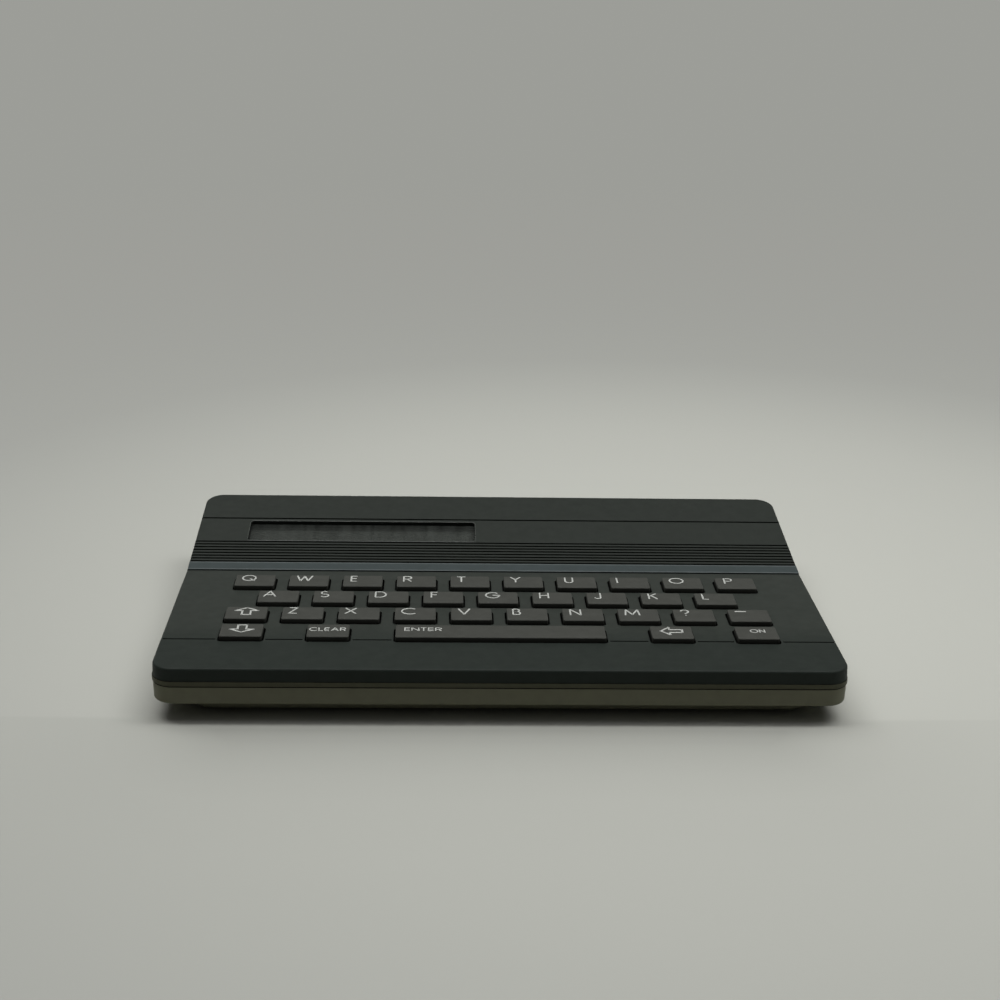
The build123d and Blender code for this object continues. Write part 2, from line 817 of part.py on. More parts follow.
save(contact(-1, front_cell_from_front, contact_size), "contact_positive")
save(contact(-1, rear_cell_from_front, contact_size), "contact_negative")
middle_from_front = (front_cell_from_front + rear_cell_from_front) / 2
save(contact(1, middle_from_front, contact_size + cell_pitch), "contact_bridge")


def battery_spring(side, from_front):
    """A conical coil between a sheet contact and the flat end of a cell."""
    start_x = bay_x + side * (bay_length / 2 - contact_thickness - spring_wire / 2)
    reach = spring_length - spring_wire
    direction = (-side, 0, 0)
    cone_angle = (spring_tip_radius - spring_radius) / reach
    with BuildPart() as coil:
        with BuildLine() as path:
            Helix(
                pitch=reach / spring_turns,
                height=reach,
                radius=spring_radius,
                center=(start_x, y_at(from_front), z_cell),
                direction=direction,
                cone_angle=degrees(cone_angle),
            )
        with BuildSketch(Plane(origin=path.line @ 0, z_dir=path.line % 0)):
            Circle(spring_wire / 2)
        sweep(path=path.line, is_frenet=True)
    return coil.part


with BuildPart() as battery_springs:
    add(battery_spring(1, front_cell_from_front))
    add(battery_spring(-1, rear_cell_from_front))
save(battery_springs.part, "battery_springs")


def lead(points, radii):
    """A soft wire along straight runs joined by arcs."""
    with BuildPart() as wire:
        with BuildLine() as route:
            FilletPolyline(*points, radius=radii)
        with BuildSketch(Plane(origin=route.line @ 0, z_dir=route.line % 0)):
            Circle(lead_radius)
        sweep(path=route.line)
    return wire.part


lead_tab_z = bay_end_z + contact_tab_rise / 2
lead_board_z = z_board_top + lead_radius
red_x = bay_left - bay_wall - lead_radius - lead_wall_gap
black_x = red_x - lead_spacing
red_route = [
    (bay_left, y_at(front_cell_from_front), lead_tab_z),
    (red_x, y_at(front_cell_from_front), lead_tab_z),
    (red_x, y_at(lead_dip_from_front), lead_tab_z - lead_dip),
    (red_x, y_at(lead_end_from_front), lead_board_z),
]
black_route = [
    (bay_left, y_at(rear_cell_from_front), lead_tab_z),
    (black_x, y_at(rear_cell_from_front), lead_tab_z),
    (black_x, y_at(lead_dip_from_front), lead_tab_z - lead_dip),
    (black_x, y_at(lead_end_from_front), lead_board_z),
]
save(lead(red_route, lead_bends), "red_lead")
save(lead(black_route, lead_bends), "black_lead")

with BuildPart() as case_screws:
    z_head = z_plateau + case_head_sink
    with BuildSketch(Plane.XY.offset(z_head)):
        with Locations(*case_screws_at):
            Circle(case_head / 2)
    extrude(amount=case_head_height)
    with BuildSketch(Plane.XY.offset(z_head)):
        with Locations(*case_screws_at):
            Circle(case_shank / 2)
    extrude(amount=case_joint_height + case_screw_bite - z_head)
    with BuildSketch(Plane.XY.offset(z_head)):
        with Locations(*case_screws_at):
            Rectangle(cross_length, cross_width)
            Rectangle(cross_width, cross_length)
    extrude(amount=cross_depth, mode=Mode.SUBTRACT)
save(case_screws.part, "case_screws")

with BuildPart() as board_screws:
    with BuildSketch(Plane.XY.offset(z_board - small_head_height)):
        with Locations(*board_screws_at):
            Circle(small_head / 2)
    extrude(amount=small_head_height)
    with BuildSketch(Plane.XY.offset(z_board - small_head_height / 2)):
        with Locations(*board_screws_at):
            Circle(small_shank / 2)
    extrude(amount=small_head_height / 2 + board_thickness + small_bite)
    with BuildSketch(holder_under.offset(-small_head_height)):
        with Locations(*display_screws_at):
            Circle(small_head / 2)
    extrude(amount=small_head_height)
    with BuildSketch(holder_under.offset(-small_head_height / 2)):
        with Locations(*display_screws_at):
            Circle(small_shank / 2)
    extrude(amount=small_head_height / 2 + holder_thickness + small_bite)
save(board_screws.part, "board_screws")
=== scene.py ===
from math import cos, pi, radians, sin

import bmesh
import bpy
from mathutils import Matrix, Vector


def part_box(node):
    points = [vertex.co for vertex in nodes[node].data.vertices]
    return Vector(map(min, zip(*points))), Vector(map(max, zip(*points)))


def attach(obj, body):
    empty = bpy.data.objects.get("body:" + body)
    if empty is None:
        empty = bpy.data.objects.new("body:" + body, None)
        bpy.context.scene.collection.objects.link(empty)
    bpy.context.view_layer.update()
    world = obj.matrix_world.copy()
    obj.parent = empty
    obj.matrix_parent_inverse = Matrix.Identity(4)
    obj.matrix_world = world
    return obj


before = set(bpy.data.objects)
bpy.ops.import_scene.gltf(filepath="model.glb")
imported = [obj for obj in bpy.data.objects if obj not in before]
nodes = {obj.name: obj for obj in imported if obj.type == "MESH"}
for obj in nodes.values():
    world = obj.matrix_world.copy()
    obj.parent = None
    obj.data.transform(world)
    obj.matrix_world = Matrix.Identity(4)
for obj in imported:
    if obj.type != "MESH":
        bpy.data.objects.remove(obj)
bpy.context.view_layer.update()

MM = 0.001
collection = bpy.context.scene.collection
key_names = [node for node in nodes if node.startswith("key_")]

# The camera, as the photograph was taken, in millimetres and degrees
CAMERA_PLACE = (-14.53, -362.66, 164.07)
CAMERA_PITCH = 19.696
CAMERA_YAW = -2.3565
CAMERA_ROLL = 1.294
FOCAL_PIXELS = 1645.0
FRAME_PIXELS = 1000.0
SENSOR = 36.0
CLIP_START = 0.01


def place_camera():
    """The camera at the photograph's place, turn and field of view."""
    data = bpy.data.cameras.new("photo_camera")
    data.sensor_width = SENSOR
    data.sensor_fit = "HORIZONTAL"
    data.lens = FOCAL_PIXELS / FRAME_PIXELS * SENSOR
    data.clip_start = CLIP_START
    camera = bpy.data.objects.new("photo_camera", data)
    collection.objects.link(camera)
    turn = (
        Matrix.Rotation(radians(CAMERA_YAW), 4, "Z")
        @ Matrix.Rotation(radians(90 - CAMERA_PITCH), 4, "X")
        @ Matrix.Rotation(radians(CAMERA_ROLL), 4, "Z")
    )
    camera.matrix_world = Matrix.Translation(Vector(CAMERA_PLACE) * MM) @ turn
    bpy.context.scene.camera = camera


place_camera()


# Tools for colours and shader nodes
def linear(value):
    """One channel of a screen colour, 0 to 255, as linear light."""
    share = value / 255
    return share / 12.92 if share <= 0.04045 else ((share + 0.055) / 1.055) ** 2.4


def colour(red, green, blue):
    """A screen colour as the linear one that shaders take."""
    return (linear(red), linear(green), linear(blue), 1.0)


def new_material(name):
    """An empty material with its shader, and the tree to add nodes to."""
    material = bpy.data.materials.new(name)
    material.use_nodes = True
    tree = material.node_tree
    return material, tree, tree.nodes["Principled BSDF"]


def noise(tree, scale, detail, stretch=(1, 1, 1)):
    """Noise on the piece's own coordinates, scale in cells per metre."""
    place = tree.nodes.new("ShaderNodeTexCoord")
    mapping = tree.nodes.new("ShaderNodeMapping")
    mapping.inputs["Scale"].default_value = stretch
    texture = tree.nodes.new("ShaderNodeTexNoise")
    texture.inputs["Scale"].default_value = scale
    texture.inputs["Detail"].default_value = detail
    tree.links.new(place.outputs["Object"], mapping.inputs["Vector"])
    tree.links.new(mapping.outputs["Vector"], texture.inputs["Vector"])
    return texture.outputs["Fac"]


def stops(tree, factor, tones, interpolation="LINEAR"):
    """A colour that passes through several stops, each a position and a colour."""
    node = tree.nodes.new("ShaderNodeValToRGB")
    node.color_ramp.interpolation = interpolation
    while len(node.color_ramp.elements) < len(tones):
        node.color_ramp.elements.new(0.5)
    for element, (position, tone) in zip(node.color_ramp.elements, tones):
        element.position = position
        element.color = (*tone[:3], 1.0)
    tree.links.new(factor, node.inputs["Fac"])
    return node.outputs["Color"]


def map_range(tree, value, start, end, low=0.0, high=1.0):
    """A value that runs from start to end, mapped onto low to high."""
    node = tree.nodes.new("ShaderNodeMapRange")
    node.inputs["From Min"].default_value = start
    node.inputs["From Max"].default_value = end
    node.inputs["To Min"].default_value = low
    node.inputs["To Max"].default_value = high
    tree.links.new(value, node.inputs["Value"])
    return node.outputs["Result"]


def math_node(tree, operation, value, other):
    """One step of arithmetic on a value and a number or a second value."""
    node = tree.nodes.new("ShaderNodeMath")
    node.operation = operation
    tree.links.new(value, node.inputs[0])
    if isinstance(other, bpy.types.NodeSocket):
        tree.links.new(other, node.inputs[1])
    else:
        node.inputs[1].default_value = other
    return node.outputs["Value"]


def scaled(tree, tone, factor):
    """A colour times a factor or another colour."""
    node = tree.nodes.new("ShaderNodeVectorMath")
    node.operation = "MULTIPLY"
    tree.links.new(tone, node.inputs[0])
    tree.links.new(factor, node.inputs[1])
    return node.outputs["Vector"]


def split_place(tree, kind="Object"):
    """The coordinates of a point one by one, or in the world those of a direction."""
    place = tree.nodes.new("ShaderNodeTexCoord")
    split = tree.nodes.new("ShaderNodeSeparateXYZ")
    tree.links.new(place.outputs[kind], split.inputs["Vector"])
    return split.outputs


def bump(tree, shader, height, strength, distance):
    """Fine relief on a shader."""
    node = tree.nodes.new("ShaderNodeBump")
    node.inputs["Strength"].default_value = strength
    node.inputs["Distance"].default_value = distance
    tree.links.new(height, node.inputs["Height"])
    tree.links.new(node.outputs["Normal"], shader.inputs["Normal"])


# Materials. Lengths are in millimetres, scales in cells per metre, bump heights in metres
NOISE_LOW = 0.3
NOISE_HIGH = 0.7
UNEVEN_SCALE = 420.0
UNEVEN_DETAIL = 6.0
SHEEN_SCALE = 320.0
SHEEN_DETAIL = 5.0
GRAIN_DETAIL = 2.0
GRAIN_HEIGHT = 0.00004
# Painted shade in narrow gaps and grooves: how far the closeness test reaches, its rays, and the
# tones it maps to
CREVICE_REACH = 1.1
CREVICE_SAMPLES = 8
CREVICE_CLOSED = 0.38
CREVICE_OPEN = 0.84
CREVICE_TONE = 0.1
# Painted shade on the cover: a darkening factor by depth in millimetres, deepest along the front
# and on the slope
COVER_PAINTED_SHADE = [
    (-48.0, (0.55, 0.625, 0.61)),
    (-34.0, (0.57, 0.635, 0.625)),
    (-24.0, (0.95, 0.96, 0.95)),
    (6.0, (1.0, 1.0, 1.0)),
    (9.0, (0.7, 0.72, 0.71)),
    (48.0, (0.655, 0.68, 0.665)),
]
METAL_SCALE = 900.0
METAL_DETAIL = 4.0
METAL_DARK = 0.8
METAL_TONE_START = 0.35
METAL_TONE_END = 0.65
METAL_SMOOTHER = 0.08
METAL_ROUGHER = 0.1
METAL_RELIEF = 0.15
METAL_HEIGHT = 0.00003
WIPE_SCALE = 260.0
WIPE_DETAIL = 4.0
WIPE_STRETCH = (1.6, 0.12, 1.0)
WIPE_START = 0.42
WIPE_END = 0.72
WINDOW_HAZE = (53, 56, 53)
WINDOW_WIPE = (80, 84, 80)
WINDOW_ALPHA = 0.38
WINDOW_SHINE = 0.3
WINDOW_SMOOTH = 0.2
WINDOW_ROUGH = 0.34


def painted_crevice_shade(tree):
    """Painted shade: a factor that darkens the colour in narrow gaps and grooves, where shade
    falls.
    """
    closed = tree.nodes.new("ShaderNodeAmbientOcclusion")
    closed.samples = CREVICE_SAMPLES
    closed.inputs["Distance"].default_value = CREVICE_REACH * MM
    return map_range(tree, closed.outputs["AO"], CREVICE_CLOSED, CREVICE_OPEN, CREVICE_TONE)


def painted_shade_along_depth(tree):
    """Painted shade over the cover's depth: a factor that makes the slope and the front of the deck
    darker.
    """
    first, last = COVER_PAINTED_SHADE[0][0], COVER_PAINTED_SHADE[-1][0]
    along = map_range(tree, split_place(tree)["Y"], first * MM, last * MM)
    return stops(tree, along, [((y - first) / (last - first), tone) for y, tone in COVER_PAINTED_SHADE])


# Painted shade multiplied into the colour of these materials: in narrow gaps and grooves, and on
# the cover over its depth
PAINTED_SHADE_FACTORS = {
    "charcoal_cover": (painted_crevice_shade, painted_shade_along_depth),
    "charcoal_keys": (painted_crevice_shade,),
    "taupe_rim": (painted_crevice_shade,),
    "taupe_case": (painted_crevice_shade,),
}


def moulded_plastic(name, base, light, rough=(0.5, 0.62), grain=2600.0, relief=0.25, shine=0.14):
    """Moulded plastic: fine uneven colour, a fine grain and a soft sheen."""
    material, tree, shader = new_material(name)
    uneven = noise(tree, UNEVEN_SCALE, UNEVEN_DETAIL)
    tone = stops(tree, uneven, [(NOISE_LOW, colour(*base)), (NOISE_HIGH, colour(*light))])
    # Painted shade, for the materials that have it
    for factor in PAINTED_SHADE_FACTORS.get(name, ()):
        tone = scaled(tree, tone, factor(tree))
    tree.links.new(tone, shader.inputs["Base Color"])
    sheen = noise(tree, SHEEN_SCALE, SHEEN_DETAIL)
    sheen = map_range(tree, sheen, NOISE_LOW, NOISE_HIGH, *rough)
    tree.links.new(sheen, shader.inputs["Roughness"])
    bump(tree, shader, noise(tree, grain, GRAIN_DETAIL), relief, GRAIN_HEIGHT)
    shader.inputs["Specular IOR Level"].default_value = shine
    return material


def metal(name, base, rough):
    """Plated steel, slightly cloudy."""
    material, tree, shader = new_material(name)
    cloud = noise(tree, METAL_SCALE, METAL_DETAIL)
    darker = tuple(METAL_DARK * part for part in base)
    tone = stops(tree, cloud, [(METAL_TONE_START, darker), (METAL_TONE_END, base)])
    tree.links.new(tone, shader.inputs["Base Color"])
    smooth, coarse = rough - METAL_SMOOTHER, rough + METAL_ROUGHER
    level = map_range(tree, cloud, NOISE_LOW, NOISE_HIGH, smooth, coarse)
    tree.links.new(level, shader.inputs["Roughness"])
    shader.inputs["Metallic"].default_value = 1.0
    bump(tree, shader, cloud, METAL_RELIEF, METAL_HEIGHT)
    return material


def window_plastic(name):
    """Smoky window: partly see-through, with faint upright wipe marks."""
    material, tree, shader = new_material(name)
    wipe = noise(tree, WIPE_SCALE, WIPE_DETAIL, WIPE_STRETCH)
    tones = [(WIPE_START, colour(*WINDOW_HAZE)), (WIPE_END, colour(*WINDOW_WIPE))]
    tree.links.new(stops(tree, wipe, tones), shader.inputs["Base Color"])
    shader.inputs["Alpha"].default_value = WINDOW_ALPHA
    shader.inputs["Specular IOR Level"].default_value = WINDOW_SHINE
    level = map_range(tree, wipe, NOISE_LOW, NOISE_HIGH, WINDOW_SMOOTH, WINDOW_ROUGH)
    tree.links.new(level, shader.inputs["Roughness"])
    return material


# Base and lighter tone, then roughness, grain scale, relief and shine where they aren't usual
PLASTICS = {
    "charcoal_cover": ((44, 48, 44), (48, 52, 48)),
    "charcoal_keys": ((61, 62, 58), (66, 67, 63), (0.46, 0.6), 2200.0),
    "worn_edge": ((44, 49, 45), (52, 57, 53), (0.22, 0.32), 3000.0, 0.05, 0.6),
    "blue_grey_band": ((54, 62, 62), (58, 66, 67), (0.4, 0.52), 3200.0, 0.12),
    # The colour of pale strips that paint the highlights along the band's edges
    "band_edge_highlight": ((76, 82, 82), (84, 90, 90), (0.4, 0.5), 3000.0, 0.05),
    "taupe_rim": ((71, 71, 57), (76, 76, 61)),
    "taupe_case": ((103, 103, 87), (108, 108, 91)),
    "black_moulding": ((22, 22, 22), (28, 28, 28)),
    "amber_ribbon": ((150, 96, 36), (168, 112, 46), (0.3, 0.4), 900.0, 0.05),
    "grey_rubber": ((120, 120, 118), (132, 132, 130), (0.7, 0.8), 1800.0),
    "board_laminate": ((28, 84, 52), (38, 98, 62), (0.3, 0.42), 700.0, 0.2),
    "black_resin": ((18, 18, 18), (26, 26, 26), (0.3, 0.45), 900.0, 0.15),
    "cell_jacket": ((66, 68, 72), (76, 78, 82), (0.25, 0.35), 600.0, 0.05),
    "red_insulation": ((168, 30, 26), (184, 38, 32)),
    "black_insulation": ((24, 24, 24), (32, 32, 32)),
    "black_rubber": ((26, 26, 26), (34, 34, 34), (0.75, 0.88), 1500.0, 0.4),
    "display_glass": ((92, 97, 91), (102, 107, 101), (0.3, 0.4), 800.0, 0.02),
    "legend_ink": ((180, 182, 177), (192, 194, 189), (0.5, 0.6), 3000.0, 0.05),
}
METALS = {
    "tinned_steel": ((0.62, 0.62, 0.6), 0.3),
    "zinc_screw": ((0.55, 0.55, 0.53), 0.35),
}
materials = {name: moulded_plastic(name, *values) for name, values in PLASTICS.items()}
materials |= {name: metal(name, *values) for name, values in METALS.items()}
materials["clear_window"] = window_plastic("clear_window")

# What each node is made of. The keys, which aren't named here, are of charcoal_keys
MATERIAL_OF = {
    "top_cover": "charcoal_cover",
    "stripe_band": "blue_grey_band",
    "lcd_window": "clear_window",
    "lcd_glass": "display_glass",
    "lcd_holder": "black_moulding",
    "lcd_ribbon": "amber_ribbon",
    "dome_sheet": "grey_rubber",
    "main_board": "board_laminate",
    "processor_blob": "black_resin",
    "memory_chip": "black_resin",
    "crystal": "tinned_steel",
    "capacitor": "black_resin",
    "rim_frame": "taupe_rim",
    "bottom_case": "taupe_case",
    "battery_door": "taupe_case",
    "battery_front": "cell_jacket",
    "battery_rear": "cell_jacket",
    "contact_positive": "tinned_steel",
    "contact_negative": "tinned_steel",
    "contact_bridge": "tinned_steel",
    "battery_springs": "tinned_steel",
    "red_lead": "red_insulation",
    "black_lead": "black_insulation",
    "case_screws": "zinc_screw",
    "board_screws": "zinc_screw",
    "rubber_feet": "black_rubber",
}
SMOOTH_ANGLE = 32.0
for node_name, node in nodes.items():
    node.data.materials.clear()
    node.data.materials.append(materials[MATERIAL_OF.get(node_name, "charcoal_keys")])
    node.data.shade_smooth()
    node.data.set_sharp_from_angle(angle=radians(SMOOTH_ANGLE))


# Printed legends, drawn as strokes in a cell one unit high
def arc(x, y, across, up, start, end, steps=14):
    """Points along part of an ellipse, angles in degrees from +X."""
    turn = [radians(start + (end - start) * step / steps) for step in range(steps + 1)]
    return [(x + across * cos(angle), y + up * sin(angle)) for angle in turn]


STROKES = {
    "a": [[(0, 0), (0.4, 1), (0.8, 0)], [(0.14, 0.33), (0.66, 0.33)]],
    "b": [[(0, 0), (0, 1)], [(0, 1), *arc(0.26, 0.76, 0.22, 0.24, 90, -90), (0, 0.52)],
          [(0, 0.52), *arc(0.29, 0.26, 0.25, 0.26, 90, -90), (0, 0)]],
    "c": [arc(0.5, 0.5, 0.5, 0.5, 48, 312, 24)],
    "d": [[(0, 0), (0, 1)], [(0, 1), *arc(0.3, 0.5, 0.5, 0.5, 90, -90, 18), (0, 0)]],
    "e": [[(0.5, 1), (0, 1), (0, 0), (0.5, 0)], [(0, 0.52), (0.46, 0.52)]],
    "f": [[(0.5, 1), (0, 1), (0, 0)], [(0, 0.52), (0.45, 0.52)]],
    "g": [[*arc(0.5, 0.5, 0.5, 0.5, 44, 360, 26), (0.5, 0.5)]],
    "h": [[(0, 0), (0, 1)], [(0.66, 0), (0.66, 1)], [(0, 0.52), (0.66, 0.52)]],
    "i": [[(0, 0), (0, 1)]],
    "j": [[(0.42, 1), *arc(0.21, 0.22, 0.21, 0.22, 0, -170)]],
    "k": [[(0, 0), (0, 1)], [(0.62, 1), (0, 0.46)], [(0.2, 0.62), (0.66, 0)]],
    "l": [[(0, 1), (0, 0), (0.46, 0)]],
    "m": [[(0, 0), (0.1, 1), (0.5, 0.12), (0.9, 1), (1.0, 0)]],
    "n": [[(0, 0), (0, 1), (0.68, 0), (0.68, 1)]],
    "o": [arc(0.5, 0.5, 0.5, 0.5, 90, 450, 30)],
    "p": [[(0, 0), (0, 1)], [(0, 1), *arc(0.3, 0.74, 0.26, 0.26, 90, -90), (0, 0.48)]],
    "q": [arc(0.5, 0.5, 0.5, 0.5, 90, 450, 30), [(0.56, 0.34), (0.96, 0.02)]],
    "r": [[(0, 0), (0, 1)], [(0, 1), *arc(0.3, 0.74, 0.26, 0.26, 90, -90), (0, 0.48)],
          [(0.26, 0.48), (0.56, 0)]],
    "s": [[*arc(0.27, 0.75, 0.24, 0.25, 50, 250), *arc(0.27, 0.26, 0.27, 0.26, 70, -150)]],
    "t": [[(0, 1), (0.56, 1)], [(0.28, 1), (0.28, 0)]],
    "u": [[(0, 1), *arc(0.3, 0.3, 0.3, 0.3, 180, 360), (0.6, 1)]],
    "v": [[(0, 1), (0.4, 0), (0.8, 1)]],
    "w": [[(0, 1), (0.27, 0), (0.54, 0.9), (0.81, 0), (1.08, 1)]],
    "x": [[(0, 0), (0.68, 1)], [(0, 1), (0.68, 0)]],
    "y": [[(0, 1), (0.36, 0.5), (0.72, 1)], [(0.36, 0.5), (0.36, 0)]],
    "z": [[(0, 1), (0.52, 1), (0, 0), (0.54, 0)]],
    "question": [[*arc(0.28, 0.72, 0.28, 0.28, 170, -60), (0.3, 0.4), (0.3, 0.28)],
                 [(0.3, 0.08), (0.3, 0.0)]],
}
KEY_FLANGE = 1.2
INK_RISE = 0.012
INK_ROUNDING = 1
LETTER_HEIGHT = 3.1
LETTER_STROKE = 0.44
LETTER_TOP = 0.42
LETTER_PLACES = {
    "q": (1.57, 3.1), "w": (1.72, 3.59), "e": (1.87, 1.37), "r": (1.62, 1.79), "t": (1.6, 2.02),
    "y": (1.67, 2.28), "u": (1.97, 1.79), "i": (1.72, 0.0), "o": (1.67, 3.2), "p": (2.17, 1.79),
    "a": (1.22, 2.77), "s": (1.67, 1.77), "d": (1.62, 2.42), "f": (1.87, 1.42), "g": (1.87, 3.15),
    "h": (1.77, 1.96), "j": (1.87, 1.38), "k": (1.87, 1.91), "l": (1.82, 1.28), "z": (1.52, 1.82),
    "x": (1.47, 2.48), "c": (1.57, 3.05), "v": (1.72, 2.62), "b": (1.47, 1.62), "n": (1.82, 2.33),
    "m": (1.62, 3.3), "question": (1.82, 1.74),
}
WORD_HEIGHT = 1.58
WORD_STROKE = 0.31
WORD_SPACE = 0.45
WORDS = {
    "key_clear": ("clear", 7.9, 0.5, 1.84),
    "key_enter": ("enter", 8.1, 2.05, 1.58),
    "key_on": ("on", 3.2, 3.35, 1.55),
}
ARROW_STROKE = 0.5
ARROW_TOP = 0.6
UP_ARROW = [
    (0, 3.8), (2.6, 2.25), (0.95, 2.25), (0.95, 0),
    (-0.95, 0), (-0.95, 2.25), (-2.6, 2.25), (0, 3.8),
]
BACK_ARROW = [
    (-2.4, 2), (-0.45, 4), (-0.45, 2.75), (2.4, 2.75),
    (2.4, 1.25), (-0.45, 1.25), (-0.45, 0), (-2.4, 2),
]
DASH_LENGTH = 2.55
DASH_LEFT = 1.65
DASH_TOP = 1.05
DASH_STROKE = 0.6
CORNER_TURN = 35.0
CORNER_REACH = 0.42
SAME_PLACE = 0.01


def natural_width(glyph):
    """Width of one glyph in units of its height."""
    return max(x for stroke in STROKES[glyph] for x, _ in stroke)


def stretched(strokes, across, up, start=0.0):
    """Strokes scaled both ways and moved along."""
    return [[(start + x * across, y * up) for x, y in stroke] for stroke in strokes]


def word_strokes(word, length):
    """A word's strokes in millimetres, its letters widened or narrowed to fill the length."""
    gaps = WORD_SPACE * (len(word) - 1)
    widen = (length - gaps) / sum(natural_width(letter) for letter in word)
    drawn, at = [], 0.0
    for letter in word:
        drawn += stretched(STROKES[letter], widen, WORD_HEIGHT, at)
        at += natural_width(letter) * widen + WORD_SPACE
    return drawn


def split_at_corners(stroke, reach):
    """A stroke as runs without sharp corners; each run reaches past the corners it ends at."""
    sharp = radians(CORNER_TURN)
    points = [Vector(point) for point in stroke]
    closed = (points[0] - points[-1]).length < SAME_PLACE
    corners = [
        at for at in range(1, len(points) - 1)
        if (points[at] - points[at - 1]).angle(points[at + 1] - points[at]) > sharp
    ]
    cuts = [0, *corners, len(points) - 1]
    round_start = closed and (points[1] - points[0]).angle(points[-1] - points[-2]) < sharp
    sharp_start = closed and not round_start
    runs = []
    for first, last in zip(cuts, cuts[1:]):
        run = [point.copy() for point in points[first:last + 1]]
        if first in corners or sharp_start:
            run[0] += (run[0] - run[1]).normalized() * reach
        if last in corners or sharp_start:
            run[-1] += (run[-1] - run[-2]).normalized() * reach
        runs.append((run, round_start and not corners))
    return runs


def round_curve(name, radius, rounding):
    """An empty curve with a round section, its radius in millimetres."""
    curve = bpy.data.curves.new(name, "CURVE")
    curve.dimensions = "3D"
    curve.bevel_depth = radius * MM
    curve.bevel_resolution = rounding
    return curve


def add_run(curve, points, loop):
    """One straight-segmented run of a curve, its points in metres."""
    spline = curve.splines.new("POLY")
    spline.points.add(len(points) - 1)
    for point, place in zip(spline.points, points):
        point.co = (*place, 1)
    spline.use_cyclic_u = loop


def curve_mesh(name, curve, material):
    """The mesh of a curve, with its material."""
    holder = bpy.data.objects.new(name + "_curve", curve)
    collection.objects.link(holder)
    bpy.context.view_layer.update()
    mesh = bpy.data.meshes.new_from_object(holder)
    bpy.data.objects.remove(holder)
    mesh.name = name
    mesh.materials.clear()
    mesh.materials.append(materials[material])
    return mesh


def ink(name, strokes, width, surface_z, body, start):
    """Flat printed strokes on a key, points in millimetres from start."""
    curve = round_curve(name, width / 2, INK_ROUNDING)
    curve.use_fill_caps = True
    for stroke in strokes:
        for run, loop in split_at_corners(stroke, width * CORNER_REACH):
            points = run[:-1] if loop else run
            add_run(curve, [(place.x * MM, place.y * MM, 0) for place in points], loop)
    mesh = curve_mesh(name, curve, "legend_ink")
    flatten = INK_RISE / (width / 2)
    place = Matrix.Translation((start[0], start[1], surface_z))
    mesh.transform(place @ Matrix.Diagonal((1, 1, flatten, 1)))
    piece = bpy.data.objects.new(name, mesh)
    collection.objects.link(piece)
    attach(piece, body)


def draw_legend(key):
    """The legend of one key, placed by the key's own box."""
    low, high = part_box(key)
    left = low.x + KEY_FLANGE * MM
    back = high.y - KEY_FLANGE * MM
    middle = (low.x + high.x) / 2
    name = key.replace("key_", "legend_")
    glyph = key.removeprefix("key_")
    if key in WORDS:
        word, length, word_left, word_top = WORDS[key]
        start = (left + word_left * MM, back - (word_top + WORD_HEIGHT) * MM)
        ink(name, word_strokes(word, length), WORD_STROKE, high.z, key, start)
    elif key == "key_dash":
        start = (left + DASH_LEFT * MM, back - DASH_TOP * MM)
        ink(name, [[(0, 0), (DASH_LENGTH, 0)]], DASH_STROKE, high.z, key, start)
    elif key in ("key_up", "key_down", "key_back"):
        points = BACK_ARROW if key == "key_back" else UP_ARROW
        height = max(y for _, y in points)
        if key == "key_down":
            points = [(x, height - y) for x, y in points]
        start = (middle, back - (ARROW_TOP + height) * MM)
        ink(name, [points], ARROW_STROKE, high.z, key, start)
    else:
        letter_left, width = LETTER_PLACES[glyph]
        widen = width / max(natural_width(glyph), SAME_PLACE)
        drawn = stretched(STROKES[glyph], widen, LETTER_HEIGHT)
        start = (left + letter_left * MM, back - (LETTER_TOP + LETTER_HEIGHT) * MM)
        ink(name, drawn, LETTER_STROKE, high.z, key, start)


for key in key_names:
    draw_legend(key)


# The slope's details: pale strips along the coloured band's edges, which are painted highlights
# where those edges catch the light, and the lip of the display opening
SLOPE_TILT = radians(8.1)
BAND_START = 0.6
BAND_END = 4.3
BAND_LINE_WIDTH = 0.42
BAND_LINE_RISE = 0.02
BAND_LINE_EDGE = 0.1
BAND_LINE_INSET = 0.04
OPENING_X = -33.1
OPENING_UP = 20.2
OPENING_LONG = 57.1
OPENING_DEEP = 10.3
OPENING_CORNER = 0.9
LIP_RADIUS = 0.12
LIP_SINK = 0.08
LIP_ROUNDING = 3
LIP_STEPS = 8
band_low, band_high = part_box("stripe_band")
bend_y = band_low.y - BAND_START * MM * cos(SLOPE_TILT)
bend_z = band_high.z - BAND_END * MM * sin(SLOPE_TILT)


def on_slope(x, up, rise):
    """A point on the display slope: x in metres, up from the bend and rise in millimetres."""
    y = bend_y + (up * cos(SLOPE_TILT) - rise * sin(SLOPE_TILT)) * MM
    z = bend_z + (up * sin(SLOPE_TILT) + rise * cos(SLOPE_TILT)) * MM
    return Vector((x, y, z))


def opening_lip(name):
    """A fine rounded lip along the edge of the display opening."""
    half_long, half_deep = OPENING_LONG / 2, OPENING_DEEP / 2
    ring = []
    for turn, (side, end) in enumerate(((1, -1), (1, 1), (-1, 1), (-1, -1))):
        middle_x = side * (half_long - OPENING_CORNER)
        middle_up = end * (half_deep - OPENING_CORNER)
        angles = (90 * turn - 90, 90 * turn)
        ring += arc(middle_x, middle_up, OPENING_CORNER, OPENING_CORNER, *angles, LIP_STEPS)
    curve = round_curve(name, LIP_RADIUS, LIP_ROUNDING)
    places = [on_slope((OPENING_X + x) * MM, OPENING_UP + up, -LIP_SINK) for x, up in ring]
    add_run(curve, places, True)
    mesh = curve_mesh(name, curve, "worn_edge")
    mesh.shade_smooth()
    piece = bpy.data.objects.new(name, mesh)
    collection.objects.link(piece)
    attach(piece, "case")


